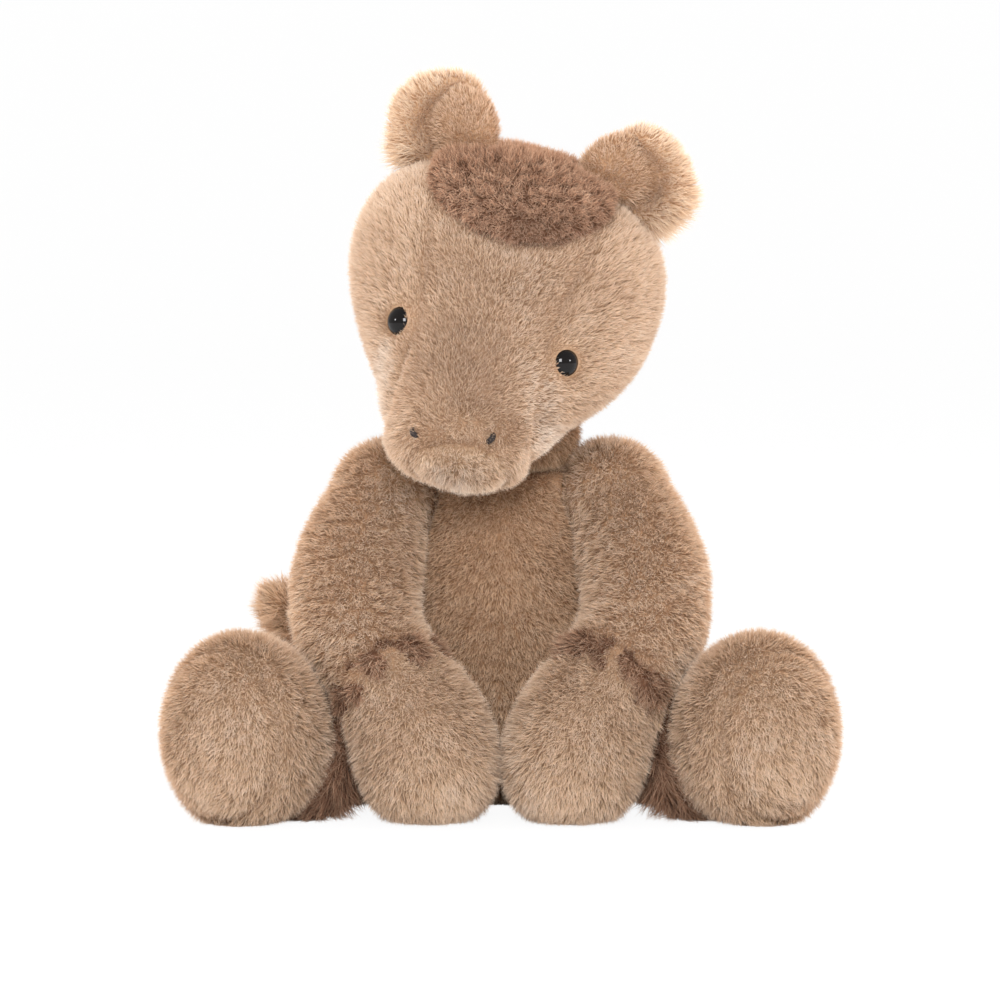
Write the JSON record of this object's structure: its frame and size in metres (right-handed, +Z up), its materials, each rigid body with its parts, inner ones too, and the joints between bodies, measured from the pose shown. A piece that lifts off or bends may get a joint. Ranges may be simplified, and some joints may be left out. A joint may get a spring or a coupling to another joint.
{
  "type": "plush horse",
  "caption": "Seated stuffed horse toy with a tilted head, upright ears, dark crown patch, glossy eyes, rounded hooves and a curled tail.",
  "frame": {"origin": "centre of the bounding box at its bottom, on the plane the toy sits on", "axes": "+Z up, the toy faces -Y, its left side is at +X"},
  "size_m": [0.22, 0.1645, 0.2465],
  "materials": {
    "plush": "short dense fawn pile",
    "plush_light": "short dense pale fawn pile",
    "plush_belly": "short dense brown pile",
    "plush_dark": "longer dark brown pile",
    "filling": "white polyester fibre",
    "pouch": "woven lining cloth, filled with pellets",
    "eye": "polished black",
    "washer": "moulded, natural white",
    "thread": "dark brown embroidery thread"
  },
  "bodies": {
    "torso": {"torso_cover": "plush", "belly_panel": "plush_belly", "torso_filling": "filling", "pellet_pouch": "pouch"},
    "neck": {"neck_cover": "plush", "neck_filling": "filling"},
    "head": {"head_side_left": "plush", "head_side_right": "plush", "head_gusset": "plush", "muzzle_panel": "plush_light", "head_filling": "filling", "mane_pad": "plush_dark", "eye_left": "eye", "eye_right": "eye", "eye_washer_left": "washer", "eye_washer_right": "washer", "nostril_left": "thread", "nostril_right": "thread"},
    "ear_left": {"ear_left": "plush_light", "ear_lining_left": "plush"},
    "ear_right": {"ear_right": "plush_light", "ear_lining_right": "plush"},
    "arm_left": {"arm_left": "plush", "fore_hoof_left": "plush_light", "fore_fetlock_left": "plush_dark", "arm_filling_left": "filling"},
    "arm_right": {"arm_right": "plush", "fore_hoof_right": "plush_light", "fore_fetlock_right": "plush_dark", "arm_filling_right": "filling"},
    "leg_left": {"leg_left": "plush", "hind_hoof_left": "plush_light", "hind_sole_left": "plush_light", "hind_fetlock_left": "plush_dark", "leg_filling_left": "filling"},
    "leg_right": {"leg_right": "plush", "hind_hoof_right": "plush_light", "hind_sole_right": "plush_light", "hind_fetlock_right": "plush_dark", "leg_filling_right": "filling"},
    "tail": {"tail": "plush_dark"}
  },
  "joints": [
    {"name": "neck_turn", "type": "hinge", "parent": "torso", "child": "neck", "pos_m": [0.0005, 0.007, 0.126], "axis": [0, 0, 1], "range_deg": [-15, 15]},
    {"name": "head_nod", "type": "hinge", "parent": "neck", "child": "head", "pos_m": [0.0005, 0.007, 0.126], "axis": [1, 0, 0], "range_deg": [-8, 8]},
    {"name": "ear_left_flop", "type": "hinge", "parent": "head", "child": "ear_left", "pos_m": [0.03451, -0.00945, 0.20396], "axis": [0.6526, 0.1947, -0.7323], "range_deg": [-15, 15]},
    {"name": "ear_right_flop", "type": "hinge", "parent": "head", "child": "ear_right", "pos_m": [-0.0163, -0.00573, 0.21666], "axis": [0.959, -0.2789, 0.0512], "range_deg": [-15, 15]},
    {"name": "arm_left_swing", "type": "hinge", "parent": "torso", "child": "arm_left", "pos_m": [0.037, 0.003, 0.103], "axis": [-1, 0, 0], "range_deg": [0, 50]},
    {"name": "arm_right_swing", "type": "hinge", "parent": "torso", "child": "arm_right", "pos_m": [-0.037, 0.003, 0.103], "axis": [-1, 0, 0], "range_deg": [0, 50]},
    {"name": "leg_left_splay", "type": "hinge", "parent": "torso", "child": "leg_left", "pos_m": [0.036, 0.02, 0.0225], "axis": [0, 0, 1], "range_deg": [0, 20]},
    {"name": "leg_right_splay", "type": "hinge", "parent": "torso", "child": "leg_right", "pos_m": [-0.036, 0.02, 0.0225], "axis": [0, 0, -1], "range_deg": [0, 20]},
    {"name": "tail_swing", "type": "hinge", "parent": "torso", "child": "tail", "pos_m": [0, 0.057, 0.026], "axis": [0, 0, -1], "range_deg": [0, 30]}
  ]
}
